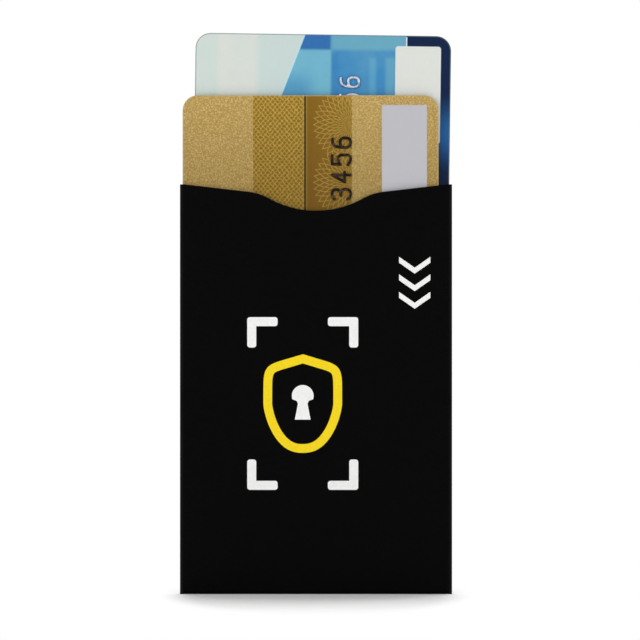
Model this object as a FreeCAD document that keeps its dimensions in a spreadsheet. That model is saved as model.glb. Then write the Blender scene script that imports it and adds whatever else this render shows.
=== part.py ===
import FreeCAD, Part
import os
import Sketcher
from FreeCAD import Placement, Rotation, Vector

# Driving sizes of the sleeve and its two cards, in millimetres and degrees.
SIZES = {
    # Plastic cards of the common format, and the layers laminated into each of them.
    "card_length": 85.60,
    "card_width": 53.98,
    "card_corner_radius": 3.18,
    "overlay_thickness": 0.06,
    "core_thickness": 0.22,
    "inlay_thickness": 0.20,
    # Contact chip: its place on the card, its carrier, its plated contacts and its potting.
    "chip_from_end": 15.06,
    "chip_from_side": 23.89,
    "carrier_length": 13.0,
    "carrier_width": 11.8,
    "carrier_corner_radius": 2.0,
    "carrier_thickness": 0.12,
    "carrier_clearance": 0.05,
    "contact_thickness": 0.04,
    "contact_margin": 0.30,
    "contact_column": 3.60,
    "contact_groove": 0.25,
    "potting_length": 7.20,
    "potting_width": 6.60,
    "potting_corner_radius": 1.20,
    "potting_clearance": 0.10,
    "potting_end_gap": 0.02,
    # Flat antenna coil etched on the inlay.
    "coil_margin": 4.0,
    "coil_pitch": 1.0,
    "coil_trace": 0.55,
    "coil_thickness": 0.035,
    # Back of the card: magnetic stripe and signature panel, both let into the overlay.
    "stripe_from_side": 4.0,
    "stripe_width": 12.7,
    "stripe_thickness": 0.02,
    "signature_from_stripe": 3.3,
    "signature_from_end": 8.0,
    "signature_length": 62.0,
    "signature_width": 9.5,
    "signature_thickness": 0.02,
    # Embossed number.
    "emboss_height": 0.46,
    "digit_height": 4.60,
    "digit_width": 2.75,
    "digit_stroke": 0.52,
    "front_card_digit_line": 20.50,
    "rear_card_digit_line": 21.34,
    "first_digit_from_end": 10.26,
    "last_digit_from_end": 10.00,
    # Laminate that the sleeve is folded from, outside to inside, and its adhesive.
    "sheet_thickness": 0.20,
    "foil_thickness": 0.04,
    "liner_thickness": 0.06,
    "glue_thickness": 0.05,
    "glue_margin": 0.80,
    # Folds and glue flaps.
    "fold_radius": 0.90,
    "flap_width": 9.0,
    "flap_taper": 2.4,
    # Mouth of the front panel: sloping shoulders and a thumb notch blended into them.
    "shoulder_drop": 3.20,
    "notch_depth": 5.54,
    "notch_radius": 20.2,
    "notch_blend_radius": 12.4,
    # Room in the pocket, and how the two cards stand in it.
    "side_clearance": 1.41,
    "end_clearance": 0.50,
    "face_clearance": 0.12,
    "edge_clearance": 0.26,
    "front_card_rise": 18.8,
    "rear_card_rise": 31.7,
    "rear_card_tilt": 0.8,
    # How far every cut runs past the solid.
    "cut_overrun": 1.0,
}

# Sizes worked out from the driving ones.
DERIVED = {
    "card_half_width": "dims.card_width / 2",
    "card_half_length": "dims.card_length / 2",
    "core_front": "dims.overlay_thickness",
    "inlay_front": "core_front + dims.core_thickness",
    "back_core_front": "inlay_front + dims.inlay_thickness",
    "back_overlay_front": "back_core_front + dims.core_thickness",
    "card_thickness": "back_overlay_front + dims.overlay_thickness",
    "chip_side": "dims.chip_from_side - card_half_width",
    "chip_height": "dims.chip_from_end - card_half_length",
    "chip_seat_depth": "dims.contact_thickness + dims.carrier_thickness",
    "potting_thickness": "back_core_front - chip_seat_depth - dims.potting_end_gap",
    "contact_half_width": "dims.carrier_width / 2 - dims.contact_margin",
    "contact_half_length": "dims.carrier_length / 2 - dims.contact_margin",
    "coil_floor": "back_core_front - dims.coil_thickness",
    "stripe_floor": "card_thickness - dims.stripe_thickness",
    "stripe_left": "dims.stripe_from_side - card_half_width",
    "stripe_right": "stripe_left + dims.stripe_width",
    "signature_floor": "card_thickness - dims.signature_thickness",
    "signature_left": "stripe_right + dims.signature_from_stripe",
    "signature_low": "dims.signature_from_end - card_half_length",
    "wall": "dims.sheet_thickness + dims.foil_thickness + dims.liner_thickness",
    "pocket_depth": "2 * card_thickness + 2 * dims.emboss_height + 3 * dims.face_clearance",
    "sleeve_width": "dims.card_width + 2 * dims.side_clearance + 2 * wall",
    "sleeve_height": "dims.card_length + dims.end_clearance + wall",
    "sleeve_depth": "pocket_depth + 3 * wall + dims.glue_thickness",
    "half_width": "sleeve_width / 2",
    "half_depth": "sleeve_depth / 2",
    "panel_half": "half_width - dims.fold_radius",
    "back_face": "half_depth - wall - dims.glue_thickness",
    "flap_edge": "half_width - dims.flap_width",
    "notch_centre": "sleeve_height - dims.notch_depth + dims.notch_radius",
    "front_card_face": "wall + dims.face_clearance + dims.emboss_height - half_depth",
    "front_card_side": "dims.edge_clearance - dims.side_clearance",
    "front_card_middle": "sleeve_height + dims.front_card_rise - card_half_length",
    "rear_card_face": "front_card_face + card_thickness + dims.face_clearance + dims.emboss_height",
    "rear_card_middle":
        "sleeve_height + dims.rear_card_rise - card_half_length * cos(dims.rear_card_tilt)",
    "rear_card_side":
        "card_half_width + dims.side_clearance - dims.edge_clearance"
        " - card_half_width / cos(dims.rear_card_tilt)"
        " - (sleeve_height - rear_card_middle) * tan(dims.rear_card_tilt)",
}

COIL_TURNS = 4
CONTACT_ROWS = 4
CARD_NUMBER = "1234 5678 9012 3456"

# Strokes of each digit, as shares of the digit's width and height between stroke centres.
DIGIT_MIDDLE_SHARE = .5
DIGIT_SHARES = {
    "0": [[(0, .25), (0, .75), (.3, 1), (.7, 1), (1, .75), (1, .25), (.7, 0), (.3, 0), (0, .25)]],
    "1": [[(.1, .8), (.5, 1), (.5, 0)], [(.1, 0), (.9, 0)]],
    "2": [[(0, .78), (.28, 1), (.72, 1), (1, .8), (1, .62), (0, .14), (0, 0), (1, 0)]],
    "3": [[(0, .85), (.25, 1), (.7, 1), (.95, .84), (.95, .66), (.7, .53), (.4, .53)],
          [(.7, .53), (1, .38), (1, .18), (.72, 0), (.25, 0), (0, .16)]],
    "4": [[(.72, 0), (.72, 1), (0, .32), (1, .32)]],
    "5": [[(.95, 1), (.08, 1), (.04, .56), (.7, .58), (1, .4), (1, .18), (.7, 0), (.25, 0), (0, .14)]],
    "6": [[(.9, 1), (.4, .96), (0, .6), (0, .2), (.3, 0), (.7, 0), (1, .18), (1, .38), (.7, .55),
           (.3, .55), (0, .4)]],
    "7": [[(0, .86), (0, 1), (1, 1), (.4, 0)]],
    "8": [[(.3, .53), (.06, .66), (.06, .86), (.3, 1), (.7, 1), (.94, .86), (.94, .66), (.7, .53), (.3, .53)],
          [(.3, .53), (0, .38), (0, .16), (.3, 0), (.7, 0), (1, .16), (1, .38), (.7, .53), (.3, .53)]],
    "9": [[(.1, 0), (.6, .04), (1, .4), (1, .8), (.7, 1), (.3, 1), (0, .82), (0, .62), (.3, .45),
           (.7, .45), (1, .6)]],
}

doc = FreeCAD.newDocument("card_sleeve")
nodes = []


def fill_sheet(name, cells):
    sheet = doc.addObject("Spreadsheet::Sheet", name)
    for row, (alias, content) in enumerate(cells.items(), 1):
        sheet.set(f"A{row}", alias)
        sheet.set(f"B{row}", str(content))
        sheet.setAlias(f"B{row}", alias)
    doc.recompute()
    return sheet


dims = fill_sheet("dims", SIZES)
made = fill_sheet("made", {alias: f"={formula}" for alias, formula in DERIVED.items()})


def value(expression):
    return float(made.evalExpression(expression))


def name_node(item, label):
    item.Label = label
    nodes.append(item)
    return item


def new_body(name):
    return doc.addObject("PartDesign::Body", name)


def new_sketch(body, name, role, offset):
    """A sketch on one of the body's own planes, moved along the plane's normal by an expression."""
    sketch = body.newObject("Sketcher::SketchObject", f"{body.Name}_{name}")
    plane = next(feature for feature in body.Origin.OriginFeatures if feature.Role == role)
    sketch.AttachmentSupport = [(plane, "")]
    sketch.MapMode = "FlatFace"
    sketch.setExpression("AttachmentOffset.Base.z", offset)
    return sketch


def upright_sketch(body, name, depth):
    """A sketch that faces the viewer, with X to the right and Z up, at the given place along Y."""
    return new_sketch(body, name, "XZ_Plane", f"-({depth})")


def draw_outline(sketch, corners, rounds=None):
    """A closed outline through corners of (x, y) expressions. A round starts at the corner with its
    number, and gives the arc's centre and radius as expressions."""
    rounds = rounds or {}
    points = [Vector(value(x), value(y), 0) for x, y in corners]
    pieces = []
    for number, start in enumerate(points):
        end = points[(number + 1) % len(points)]
        if number not in rounds:
            pieces.append((sketch.addGeometry(Part.LineSegment(start, end)), 1, 2))
            continue
        centre_x, centre_y, radius = rounds[number]
        centre = Vector(value(centre_x), value(centre_y), 0)
        circle = Part.Circle(centre, Vector(0, 0, 1), value(radius))
        leftward = (start - centre).cross(end - centre).z > 0
        first, last = (start, end) if leftward else (end, start)
        arc = Part.ArcOfCircle(circle, circle.parameter(first), circle.parameter(last))
        ends = (1, 2) if leftward else (2, 1)
        geometry = sketch.addGeometry(arc)
        pieces.append((geometry, *ends))
        constraint = sketch.addConstraint(Sketcher.Constraint("Radius", geometry, value(radius)))
        sketch.setExpression(f"Constraints[{constraint}]", radius)
    for number, (geometry, start, end) in enumerate(pieces):
        following, joint, _ = pieces[(number + 1) % len(pieces)]
        sketch.addConstraint(Sketcher.Constraint("Coincident", geometry, end, following, joint))
        for kind, place in zip(("DistanceX", "DistanceY"), corners[number]):
            rule = Sketcher.Constraint(kind, -1, 1, geometry, start, value(place))
            constraint = sketch.addConstraint(rule)
            sketch.setExpression(f"Constraints[{constraint}]", place)


def draw_rectangle(sketch, left, right, low, high):
    draw_outline(sketch, [(left, low), (right, low), (right, high), (left, high)])


def draw_circle(sketch, height, radius):
    """A circle on the sketch's upright axis."""
    centre = Vector(0, value(height), 0)
    circle = sketch.addGeometry(Part.Circle(centre, Vector(0, 0, 1), value(radius)))
    sketch.addConstraint(Sketcher.Constraint("PointOnObject", circle, 3, -2))
    for rule, size in (
        (Sketcher.Constraint("DistanceY", -1, 1, circle, 3, value(height)), height),
        (Sketcher.Constraint("Radius", circle, value(radius)), radius),
    ):
        constraint = sketch.addConstraint(rule)
        sketch.setExpression(f"Constraints[{constraint}]", size)


def pad(body, sketch, length, backwards):
    feature = body.newObject("PartDesign::Pad", f"{sketch.Name}_pad")
    feature.Profile = sketch
    feature.Reversed = backwards
    feature.setExpression("Length", length)
    doc.recompute()
    return feature


def pocket(body, sketch, length):
    """A cut against the sketch's normal, which has to take something away."""
    before = body.Shape.Volume
    feature = body.newObject("PartDesign::Pocket", f"{sketch.Name}_pocket")
    feature.Profile = sketch
    feature.setExpression("Length", length)
    doc.recompute()
    if not body.Shape.Volume < before:
        raise RuntimeError(f"{feature.Name} cuts nothing")
    return feature


def edges_through(shape):
    """Names of the straight edges that run through a plate from front to back, and their places."""
    found = {}
    for number, edge in enumerate(shape.Edges, 1):
        along = edge.tangentAt(edge.FirstParameter)
        if abs(along.x) + abs(along.z) < Part.Precision.confusion():
            found[f"Edge{number}"] = edge.Vertexes[0].Point
    return found


def round_edges(body, base, edges, radius):
    feature = body.newObject("PartDesign::Fillet", f"{base.Name}_round")
    feature.Base = (base, list(edges))
    feature.setExpression("Radius", radius)
    doc.recompute()
    return feature


def rounded_plate(body, name, half_width, half_length, side, height, radius, depth, thickness):
    """A plate with round corners, centred on (side, height), whose front face lies at depth."""
    sketch = upright_sketch(body, name, depth)
    draw_rectangle(
        sketch,
        f"{side} - {half_width}", f"{side} + {half_width}",
        f"{height} - {half_length}", f"{height} + {half_length}",
    )
    plate = pad(body, sketch, thickness, True)
    return round_edges(body, plate, edges_through(plate.Shape), radius)


SIDE_NAMES = {-1: "left", 1: "right"}
FACE_NAMES = {-1: "front", 1: "back"}

# Sleeve. The laminate's layers, each with its depth under the outer face and its own thickness.
LAYERS = {
    "sheet": ("0", "dims.sheet_thickness"),
    "foil": ("dims.sheet_thickness", "dims.foil_thickness"),
    "liner": ("(dims.sheet_thickness + dims.foil_thickness)", "dims.liner_thickness"),
}


def front_panel(layer):
    depth, thickness = LAYERS[layer]
    body = new_body(f"{layer}_front")
    face = f"{depth} - made.half_depth"
    sketch = upright_sketch(body, "outline", face)
    draw_outline(sketch, [
        ("-made.panel_half", "dims.fold_radius"),
        ("made.panel_half", "dims.fold_radius"),
        ("made.panel_half", "made.sleeve_height"),
        ("0", "made.sleeve_height - dims.shoulder_drop"),
        ("-made.panel_half", "made.sleeve_height"),
    ])
    pad(body, sketch, thickness, True)
    notch = upright_sketch(body, "notch", face)
    draw_circle(notch, "made.notch_centre", "dims.notch_radius")
    cut = pocket(body, notch, f"{thickness} + dims.cut_overrun")
    # The notch meets the shoulders in two edges, both on the notch's own circle.
    centre = Vector(0, 0, value("made.notch_centre"))
    meeting = []
    for edge, place in edges_through(cut.Shape).items():
        flat = Vector(place.x, 0, place.z)
        if abs(flat.distanceToPoint(centre) - value("dims.notch_radius")) < Part.Precision.approximation():
            meeting.append(edge)
    round_edges(body, cut, meeting, "dims.notch_blend_radius")
    return body


def back_panel(layer):
    depth, thickness = LAYERS[layer]
    body = new_body(f"{layer}_back")
    sketch = upright_sketch(body, "outline", f"made.back_face - {depth} - {thickness}")
    draw_rectangle(sketch, "-made.panel_half", "made.panel_half", "dims.fold_radius", "made.sleeve_height")
    pad(body, sketch, thickness, True)
    return body


def bottom_fold(layer):
    """A channel folded up at its front to the front panel and at its back to the back panel."""
    depth, thickness = LAYERS[layer]
    body = new_body(f"{layer}_bottom")
    sketch = new_sketch(body, "profile", "YZ_Plane", "-made.panel_half")
    crease = "dims.fold_radius"
    under = f"{depth} + {thickness}"
    front_crease = "dims.fold_radius - made.half_depth"
    back_crease = "made.back_face - dims.fold_radius"
    outer, inner = f"dims.fold_radius - {depth}", f"dims.fold_radius - {depth} - {thickness}"
    draw_outline(sketch, [
        (f"{depth} - made.half_depth", crease),
        (front_crease, depth),
        (back_crease, depth),
        (f"made.back_face - {depth}", crease),
        (f"made.back_face - {depth} - {thickness}", crease),
        (back_crease, under),
        (front_crease, under),
        (f"{under} - made.half_depth", crease),
    ], {
        0: (front_crease, crease, outer),
        2: (back_crease, crease, outer),
        4: (back_crease, crease, inner),
        6: (front_crease, crease, inner),
    })
    pad(body, sketch, "2 * made.panel_half", False)
    return body


def side_wall(layer, side):
    """The narrow flat side between two creases. Side is 1 on the right and -1 on the left."""
    depth, thickness = LAYERS[layer]
    body = new_body(f"{layer}_{SIDE_NAMES[side]}_wall")
    sketch = new_sketch(body, "outline", "XY_Plane", depth)
    crease = "(made.half_depth - dims.fold_radius)"
    draw_rectangle(
        sketch,
        f"{side} * (made.half_width - {depth} - {thickness})", f"{side} * (made.half_width - {depth})",
        f"-{crease}", crease,
    )
    pad(body, sketch, f"made.sleeve_height - {depth}", False)
    return body


def side_crease(layer, side, face):
    """A quarter round along the sleeve between a side wall and a panel. Face is -1 for the crease at
    the front panel and 1 for the crease at the glue flap."""
    depth, thickness = LAYERS[layer]
    body = new_body(f"{layer}_{SIDE_NAMES[side]}_{FACE_NAMES[face]}_crease")
    centre_x, centre_y = f"{side} * made.panel_half", f"{face} * (made.half_depth - dims.fold_radius)"
    outer, inner = f"dims.fold_radius - {depth}", f"dims.fold_radius - {depth} - {thickness}"
    sketch = new_sketch(body, "profile", "XY_Plane", "0")
    draw_outline(sketch, [
        (centre_x, f"{face} * (made.half_depth - {depth})"),
        (f"{side} * (made.half_width - {depth})", centre_y),
        (f"{side} * (made.half_width - {depth} - {thickness})", centre_y),
        (centre_x, f"{face} * (made.half_depth - {depth} - {thickness})"),
    ], {
        0: (centre_x, centre_y, outer),
        2: (centre_x, centre_y, inner),
    })
    pad(body, sketch, "made.sleeve_height", False)
    return body


def glue_flap(layer, side):
    """The flap glued on the back panel, with its ends slanting from the crease to its free edge."""
    depth, thickness = LAYERS[layer]
    body = new_body(f"{layer}_{SIDE_NAMES[side]}_flap")
    sketch = upright_sketch(body, "outline", f"made.half_depth - {depth} - {thickness}")
    crease, edge = f"{side} * made.panel_half", f"{side} * made.flap_edge"
    draw_outline(sketch, [
        (crease, "dims.fold_radius"),
        (crease, "made.sleeve_height"),
        (edge, "made.sleeve_height - dims.flap_taper"),
        (edge, "dims.fold_radius + dims.flap_taper"),
    ])
    pad(body, sketch, thickness, True)
    return body


def glue_strip(label, left):
    """Adhesive between a flap and the back panel, kept a margin inside the flap."""
    strip = doc.addObject("Part::Box", label)
    slant_and_margin = "dims.flap_taper + dims.glue_margin"
    for name, expression in {
        "Length": "dims.flap_width - dims.fold_radius - 2 * dims.glue_margin",
        "Width": "dims.glue_thickness",
        "Height": f"made.sleeve_height - dims.fold_radius - 2 * ({slant_and_margin})",
        "Placement.Base.x": left,
        "Placement.Base.y": "made.back_face",
        "Placement.Base.z": f"dims.fold_radius + {slant_and_margin}",
    }.items():
        strip.setExpression(name, expression)
    name_node(strip, label)


def fold_layer(layer):
    """All panels and creases of one layer of the laminate, by name."""
    folded = {
        "front_panel": front_panel(layer),
        "back_panel": back_panel(layer),
        "bottom_fold": bottom_fold(layer),
    }
    for side, name in SIDE_NAMES.items():
        folded[f"{name}_side_wall"] = side_wall(layer, side)
        folded[f"{name}_glue_flap"] = glue_flap(layer, side)
        for face, face_name in FACE_NAMES.items():
            folded[f"{name}_{face_name}_crease"] = side_crease(layer, side, face)
    return folded


def build_sleeve():
    for label, body in fold_layer("sheet").items():
        name_node(body, label)
    for layer, label in (("foil", "foil_layer"), ("liner", "inner_liner")):
        whole = doc.addObject("Part::MultiFuse", label)
        whole.Shapes = list(fold_layer(layer).values())
        whole.Refine = True
        name_node(whole, label)
    glue_strip("left_glue_strip", "dims.glue_margin - made.panel_half")
    glue_strip("right_glue_strip", "made.flap_edge + dims.glue_margin")


# Cards. Every piece is drawn on the card's own face, with the card's middle at the origin.
CARD_PLACES = {
    "front_card": ("made.front_card_side", "made.front_card_face", "made.front_card_middle", None),
    "rear_card": (
        "made.rear_card_side", "made.rear_card_face", "made.rear_card_middle", "dims.rear_card_tilt",
    ),
}


def place_on_card(item, card):
    side, face, middle, tilt = CARD_PLACES[card]
    turn = Rotation(Vector(0, 1, 0), value(tilt) if tilt else 0)
    item.Placement = Placement(Vector(value(side), value(face), value(middle)), turn)
    for axis, place in zip("xyz", (side, face, middle)):
        item.setExpression(f"Placement.Base.{axis}", place)
    if tilt:
        item.setExpression("Placement.Rotation.Angle", tilt)


def card_piece(card, piece):
    body = new_body(f"{card}_{piece}")
    name_node(body, f"{card}_{piece}")
    return body


def card_layer(card, piece, depth, thickness):
    body = card_piece(card, piece)
    rounded_plate(
        body, "plate", "made.card_half_width", "made.card_half_length", "0", "0",
        "dims.card_corner_radius", depth, thickness,
    )
    return body


def cut_chip_window(body, name, length, width, clearance, radius, depth, cut):
    """A rounded opening for a chip part and its clearance, cut rearwards from the given depth."""
    sketch = upright_sketch(body, name, depth)
    half_width, half_length = f"({width} / 2 + {clearance})", f"({length} / 2 + {clearance})"
    corner = f"({radius} + {clearance})"
    left, right = f"made.chip_side - {half_width}", f"made.chip_side + {half_width}"
    low, high = f"made.chip_height - {half_length}", f"made.chip_height + {half_length}"
    draw_outline(sketch, [
        (f"{left} + {corner}", low), (f"{right} - {corner}", low),
        (right, f"{low} + {corner}"), (right, f"{high} - {corner}"),
        (f"{right} - {corner}", high), (f"{left} + {corner}", high),
        (left, f"{high} - {corner}"), (left, f"{low} + {corner}"),
    ], {
        1: (f"{right} - {corner}", f"{low} + {corner}", corner),
        3: (f"{right} - {corner}", f"{high} - {corner}", corner),
        5: (f"{left} + {corner}", f"{high} - {corner}", corner),
        7: (f"{left} + {corner}", f"{low} + {corner}", corner),
    })
    pocket(body, sketch, cut)


def cut_carrier_seat(body, depth, cut):
    cut_chip_window(
        body, "seat", "dims.carrier_length", "dims.carrier_width", "dims.carrier_clearance",
        "dims.carrier_corner_radius", depth, cut,
    )


def cut_potting_hole(body, depth, cut):
    cut_chip_window(
        body, "hole", "dims.potting_length", "dims.potting_width", "dims.potting_clearance",
        "dims.potting_corner_radius", depth, cut,
    )


def coil_outline():
    """The etched track as one closed outline: out along its outer side and back along its inner."""
    half_track = "dims.coil_trace / 2"

    def run(turn, half):
        return f"(made.{half} - dims.coil_margin - {turn} * dims.coil_pitch)"

    def corner(x_sign, x_turn, y_sign, y_turn, x_edge, y_edge):
        return (
            f"{x_sign}{run(x_turn, 'card_half_width')} {x_edge} {half_track}",
            f"{y_sign}{run(y_turn, 'card_half_length')} {y_edge} {half_track}",
        )

    outer = [corner("-", 0, "-", 0, "-", "-")]
    inner = [corner("-", 0, "-", 0, "+", "-")]
    for turn in range(COIL_TURNS):
        outer += [
            corner("-", turn, "", turn, "-", "+"),
            corner("", turn, "", turn, "+", "+"),
            corner("", turn, "-", turn, "+", "-"),
            corner("-", turn + 1, "-", turn, "-", "-"),
        ]
        inner += [
            corner("-", turn, "", turn, "+", "-"),
            corner("", turn, "", turn, "-", "-"),
            corner("", turn, "-", turn, "-", "+"),
            corner("-", turn + 1, "-", turn, "+" if turn + 1 < COIL_TURNS else "-", "+"),
        ]
    return outer + inner[::-1]


def straight_band(start, end, half_stroke):
    """A flat band from start to end with round ends."""
    along = (end - start).normalize() * half_stroke
    across = Vector(-along.y, along.x, 0)
    sides = [
        Part.LineSegment(start - across, end - across),
        Part.Arc(end - across, end + along, end + across),
        Part.LineSegment(end + across, start + across),
        Part.Arc(start + across, start - along, start - across),
    ]
    return Part.Face(Part.Wire([side.toShape() for side in sides]))


def digit_solid(digit):
    """A digit lying flat with its middle at the origin, upright along +Y and raised along +Z."""
    stroke = value("dims.digit_stroke")
    wide = value("dims.digit_width") - stroke
    tall = value("dims.digit_height") - stroke
    raised = Vector(0, 0, value("dims.emboss_height"))
    bands = []
    for shares in DIGIT_SHARES[digit]:
        points = [
            Vector((x - DIGIT_MIDDLE_SHARE) * wide, (y - DIGIT_MIDDLE_SHARE) * tall, 0) for x, y in shares
        ]
        for start, end in zip(points, points[1:]):
            bands.append(straight_band(start, end, stroke / 2).extrude(raised))
    whole = bands[0].fuse(bands[1:]).removeSplitter()
    if len(whole.Solids) != 1:
        raise RuntimeError(f"digit {digit} is not one solid")
    return whole.Solids[0]


def raised_number(card, flat):
    """A card's embossed number, read upwards along the card, raised towards the viewer."""
    # The digit's own right runs up the card, its top points left and its face to the front.
    stand = Rotation(Vector(0, 0, 1), Vector(-1, 0, 0), Vector(0, -1, 0), "XYZ")
    side = value(f"made.card_half_width - dims.{card}_digit_line")
    first = value("dims.first_digit_from_end - made.card_half_length")
    last = value("made.card_half_length - dims.last_digit_from_end")
    pitch = (last - first) / (len(CARD_NUMBER) - 1)
    row = []
    for place, digit in enumerate(CARD_NUMBER):
        if digit == " ":
            continue
        solid = flat[digit].copy()
        solid.Placement = Placement(Vector(side, 0, first + place * pitch), stand)
        row.append(solid)
    return Part.makeCompound(row)


def build_front_layers(card):
    """The printed overlay and the core behind it, both opened for the chip."""
    overlay = card_layer(card, "front_overlay", "0", "dims.overlay_thickness")
    cut_carrier_seat(overlay, "0", "dims.overlay_thickness + dims.cut_overrun")
    core = card_layer(card, "front_core", "made.core_front", "dims.core_thickness")
    cut_carrier_seat(core, "made.core_front", "made.chip_seat_depth - made.core_front")
    cut_potting_hole(core, "made.core_front", "dims.core_thickness + dims.cut_overrun")


def build_inlay(card):
    """The middle sheet and the antenna coil, which lies in a channel in the sheet's back."""
    inlay = card_layer(card, "inlay", "made.inlay_front", "dims.inlay_thickness")
    cut_potting_hole(inlay, "made.inlay_front", "dims.inlay_thickness + dims.cut_overrun")
    channel = upright_sketch(inlay, "channel", "made.coil_floor")
    draw_outline(channel, coil_outline())
    pocket(inlay, channel, "dims.coil_thickness + dims.cut_overrun")
    coil = card_piece(card, "antenna_coil")
    track = upright_sketch(coil, "track", "made.coil_floor")
    draw_outline(track, coil_outline())
    pad(coil, track, "dims.coil_thickness", True)


def build_back_layers(card):
    """The back core and overlay, with the magnetic stripe and the signature panel let into the overlay."""
    card_layer(card, "back_core", "made.back_core_front", "dims.core_thickness")
    overlay = card_layer(card, "back_overlay", "made.back_overlay_front", "dims.overlay_thickness")

    recess = upright_sketch(overlay, "stripe", "made.stripe_floor")
    card_end = "made.card_half_length + dims.cut_overrun"
    draw_rectangle(recess, "made.stripe_left", "made.stripe_right", f"-({card_end})", card_end)
    pocket(overlay, recess, "dims.stripe_thickness + dims.cut_overrun")
    stripe = card_piece(card, "magnetic_stripe")
    tape = upright_sketch(stripe, "tape", "made.stripe_floor")
    draw_rectangle(
        tape, "made.stripe_left", "made.stripe_right", "-made.card_half_length", "made.card_half_length",
    )
    pad(stripe, tape, "dims.stripe_thickness", True)

    field = (
        "made.signature_left", "made.signature_left + dims.signature_width",
        "made.signature_low", "made.signature_low + dims.signature_length",
    )
    recess = upright_sketch(overlay, "signature", "made.signature_floor")
    draw_rectangle(recess, *field)
    pocket(overlay, recess, "dims.signature_thickness + dims.cut_overrun")
    signature = card_piece(card, "signature_panel")
    strip = upright_sketch(signature, "strip", "made.signature_floor")
    draw_rectangle(strip, *field)
    pad(signature, strip, "dims.signature_thickness", True)


def chip_plate(card, piece, half_width, half_length, radius, depth, thickness):
    body = card_piece(card, piece)
    rounded_plate(
        body, "plate", half_width, half_length, "made.chip_side", "made.chip_height",
        radius, depth, thickness,
    )
    return body


def build_chip(card):
    """The chip's carrier, flush in its seat, the contacts on it and the potting behind it."""
    chip_plate(
        card, "chip_carrier", "dims.carrier_width / 2", "dims.carrier_length / 2",
        "dims.carrier_corner_radius", "dims.contact_thickness", "dims.carrier_thickness",
    )
    contacts = chip_plate(
        card, "chip_contacts", "made.contact_half_width", "made.contact_half_length",
        "dims.carrier_corner_radius - dims.contact_margin", "0", "dims.contact_thickness",
    )
    part_contacts(contacts)
    chip_plate(
        card, "chip_encapsulation", "dims.potting_width / 2", "dims.potting_length / 2",
        "dims.potting_corner_radius", "made.chip_seat_depth", "made.potting_thickness",
    )


def part_contacts(body):
    """Parts the contact plate by fine grooves into a lower and an upper column of pads. The field
    between the columns stays joined to the first pad of the upper one."""
    half_groove = "dims.contact_groove / 2"
    cut = "dims.contact_thickness + dims.cut_overrun"
    left, right = "made.chip_side - made.contact_half_width", "made.chip_side + made.contact_half_width"
    low, high = "made.chip_height - made.contact_half_length", "made.chip_height + made.contact_half_length"
    lower_line, upper_line = f"{low} + dims.contact_column", f"{high} - dims.contact_column"
    pad_width = f"(2 * made.contact_half_width / {CONTACT_ROWS})"
    row_lines = [f"{left} + {row} * {pad_width}" for row in range(1, CONTACT_ROWS)]

    long_grooves = upright_sketch(body, "long_grooves", "0")
    past_left, past_right = f"{left} - dims.cut_overrun", f"{right} + dims.cut_overrun"
    first_pad = f"{row_lines[0]} - {half_groove}"
    for start, line in ((past_left, lower_line), (first_pad, upper_line)):
        draw_rectangle(long_grooves, start, past_right, f"{line} - {half_groove}", f"{line} + {half_groove}")
    pocket(body, long_grooves, cut)

    short_grooves = upright_sketch(body, "short_grooves", "0")
    below, above = f"{low} - dims.cut_overrun", f"{high} + dims.cut_overrun"
    for line in row_lines:
        for start, end in ((below, lower_line), (upper_line, above)):
            draw_rectangle(short_grooves, f"{line} - {half_groove}", f"{line} + {half_groove}", start, end)
    pocket(body, short_grooves, cut)


def build_card(card, flat_digits):
    build_front_layers(card)
    build_inlay(card)
    build_back_layers(card)
    build_chip(card)
    raised = name_node(doc.addObject("Part::Feature", f"{card}_raised_digits"), f"{card}_raised_digits")
    raised.Shape = raised_number(card, flat_digits)
    for item in nodes:
        if item.Label.startswith(card):
            place_on_card(item, card)


def check_and_write():
    doc.recompute()
    for item in doc.Objects:
        if {"Invalid", "Error"} & set(item.State):
            raise RuntimeError(f"{item.Label} failed: {item.State}")
    for item in nodes:
        if item.Shape.isNull() or not item.Shape.isValid() or not item.Shape.Solids:
            raise RuntimeError(f"{item.Label} has no sound shape")
    os.makedirs("parts", exist_ok=True)
    for item in nodes:
        item.Shape.exportStep(f"parts/{item.Label}.step")
        print(item.Label, len(item.Shape.Solids), round(item.Shape.Volume, 3))


build_sleeve()
digits = {digit: digit_solid(digit) for digit in sorted(set(CARD_NUMBER) - {" "})}
for card in CARD_PLACES:
    build_card(card, digits)
check_and_write()
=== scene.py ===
import math

import bmesh
import bpy
from mathutils import Matrix, Vector


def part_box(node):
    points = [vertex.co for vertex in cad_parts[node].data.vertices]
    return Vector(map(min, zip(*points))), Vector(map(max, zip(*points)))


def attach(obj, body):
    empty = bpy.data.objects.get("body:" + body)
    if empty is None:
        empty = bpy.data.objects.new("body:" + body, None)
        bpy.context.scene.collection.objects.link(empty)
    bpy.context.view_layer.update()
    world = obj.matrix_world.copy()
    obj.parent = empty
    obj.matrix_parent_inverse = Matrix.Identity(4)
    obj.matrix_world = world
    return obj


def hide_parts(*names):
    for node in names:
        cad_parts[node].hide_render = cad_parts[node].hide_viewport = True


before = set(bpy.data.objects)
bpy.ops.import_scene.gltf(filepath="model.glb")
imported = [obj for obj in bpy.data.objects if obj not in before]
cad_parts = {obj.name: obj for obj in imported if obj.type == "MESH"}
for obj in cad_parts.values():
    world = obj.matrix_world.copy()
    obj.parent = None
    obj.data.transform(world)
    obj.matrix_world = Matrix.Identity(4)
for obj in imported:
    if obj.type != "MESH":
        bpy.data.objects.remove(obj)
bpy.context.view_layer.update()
mm = 0.001
quarterTurn = math.pi / 2
onLine = 1e-3  # in mm, near enough to be on a line


# Small helpers for modelling by operators

def clearSelection():
    if bpy.context.object and bpy.context.object.mode != "OBJECT":
        bpy.ops.object.mode_set(mode="OBJECT")
    bpy.ops.object.select_all(action="DESELECT")


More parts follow.
